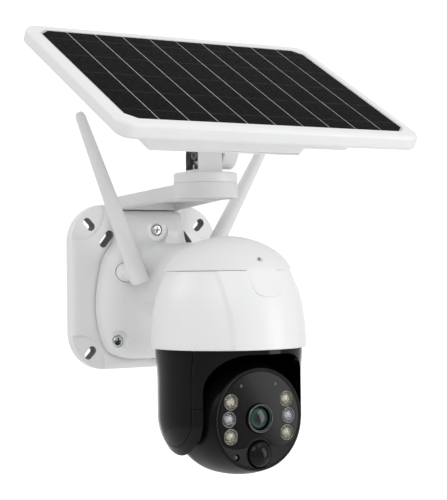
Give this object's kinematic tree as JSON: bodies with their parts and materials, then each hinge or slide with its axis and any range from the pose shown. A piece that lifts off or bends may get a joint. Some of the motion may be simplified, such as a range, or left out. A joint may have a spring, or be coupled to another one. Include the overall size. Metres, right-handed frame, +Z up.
{
  "type": "solar-powered security camera",
  "caption": "Wall-mounted pan-tilt security camera with a dome body, swinging rod antennas and a tilting solar panel on a swivel arm.",
  "frame": {"origin": "centre of the wall plate's flat back face", "axes": "+Z up, +Y into the wall, the camera looks along -Y, +X to the right seen from the front"},
  "size_m": [0.25, 0.2018, 0.3273],
  "materials": {
    "white_plastic": "semi-gloss moulded white plastic with a very fine texture",
    "black_gloss": "glossy black plastic",
    "black_satin": "satin black plastic with a fine spark texture",
    "steel": "bright plated steel",
    "motor_tin": "dull tinned steel",
    "rubber": "dark moulded rubber",
    "gear_nylon": "natural nylon",
    "cell_wrap": "satin shrink wrap",
    "circuit_board": "solder-masked circuit board",
    "solar_cells": "dark solar cells under a clear resin face",
    "lens_glass": "coated lens glass with a green-blue reflection",
    "lamp_lens": "clear moulded lamp lens"
  },
  "bodies": {
    "wall_body": {"wall_plate": "white_plastic", "cover_gasket": "rubber", "front_cover": "white_plastic", "cover_screw_top": "steel", "cover_screw_left": "steel", "cover_screw_right": "steel", "battery_cell_left": "cell_wrap", "battery_cell_middle": "cell_wrap", "battery_cell_right": "cell_wrap", "cable_inlet": "rubber", "antenna_socket_left": "white_plastic", "antenna_socket_right": "white_plastic", "dome_skirt": "white_plastic", "dome_cap": "white_plastic", "cap_screw": "steel", "dome_floor": "black_satin", "main_board": "circuit_board", "speaker": "black_satin", "pan_motor": "motor_tin", "panel_arm": "white_plastic"},
    "pan_yoke": {"yoke_shell": "black_gloss", "side_cover_left": "black_gloss", "side_cover_right": "black_gloss", "bearing_cap_left": "black_satin", "bearing_cap_right": "black_satin", "tilt_axle_left": "gear_nylon", "tilt_axle_right": "gear_nylon", "tilt_gear": "gear_nylon", "pan_turntable": "gear_nylon", "pan_gear": "gear_nylon"},
    "pan_pinion_shaft": {"pan_pinion": "gear_nylon"},
    "tilting_head": {"head_front_shell": "black_satin", "head_rear_shell": "black_satin", "face_plate": "black_gloss", "lens_ring": "black_satin", "lens_glass": "lens_glass", "camera_module": "black_satin", "lamp_board": "circuit_board", "lamp_lens_upper_left": "lamp_lens", "lamp_lens_middle_left": "lamp_lens", "lamp_lens_lower_left": "lamp_lens", "lamp_lens_upper_right": "lamp_lens", "lamp_lens_middle_right": "lamp_lens", "lamp_lens_lower_right": "lamp_lens", "motion_sensor_lens": "black_gloss", "motion_sensor": "motor_tin", "light_sensor": "lamp_lens", "tilt_motor": "motor_tin"},
    "tilt_pinion_shaft": {"tilt_pinion": "gear_nylon"},
    "panel_swivel": {"swivel_disc": "white_plastic", "hinge_post": "white_plastic", "swivel_screw": "steel"},
    "solar_panel": {"panel_lug": "white_plastic", "hinge_bolt": "steel", "hinge_nut": "steel", "panel_frame": "white_plastic", "solar_laminate": "solar_cells", "panel_back_box": "white_plastic"},
    "left_antenna": {"antenna_left": "white_plastic"},
    "right_antenna": {"antenna_right": "white_plastic"}
  },
  "joints": [
    {"name": "head_pan", "type": "hinge", "parent": "wall_body", "child": "pan_yoke", "pos_m": [0, -0.1295, 0], "axis": [0, 0, 1], "range_deg": [-177.5, 177.5]},
    {"name": "head_tilt", "type": "hinge", "parent": "pan_yoke", "child": "tilting_head", "pos_m": [0, -0.1295, -0.0916], "axis": [1, 0, 0], "range_deg": [-12, 90]},
    {"name": "pan_pinion_spin", "type": "hinge", "parent": "wall_body", "child": "pan_pinion_shaft", "pos_m": [0, -0.0995, -0.024], "axis": [0, 0, 1], "range_deg": [-711, 711]},
    {"name": "tilt_pinion_spin", "type": "hinge", "parent": "tilting_head", "child": "tilt_pinion_shaft", "pos_m": [-0.028, -0.1103, -0.0916], "axis": [1, 0, 0], "range_deg": [-37, 271]},
    {"name": "panel_turn", "type": "hinge", "parent": "wall_body", "child": "panel_swivel", "pos_m": [0, -0.1003, 0.078], "axis": [0, 0, 1], "range_deg": [-20, 20]},
    {"name": "panel_tilt", "type": "hinge", "parent": "panel_swivel", "child": "solar_panel", "pos_m": [0, -0.1025, 0.0986], "axis": [1, 0, 0], "range_deg": [-9.5, 35]},
    {"name": "antenna_left_swing", "type": "hinge", "parent": "wall_body", "child": "left_antenna", "pos_m": [-0.029, -0.0463, 0.0123], "axis": [0, -1, 0], "range_deg": [-15.8, 68.2]},
    {"name": "antenna_right_swing", "type": "hinge", "parent": "wall_body", "child": "right_antenna", "pos_m": [0.029, -0.0463, 0.0123], "axis": [0, 1, 0], "range_deg": [-25, 59]}
  ],
  "couplings": [
    {"joint": "pan_pinion_spin", "follows": "head_pan", "ratio": -4},
    {"joint": "tilt_pinion_spin", "follows": "head_tilt", "ratio": 3}
  ]
}
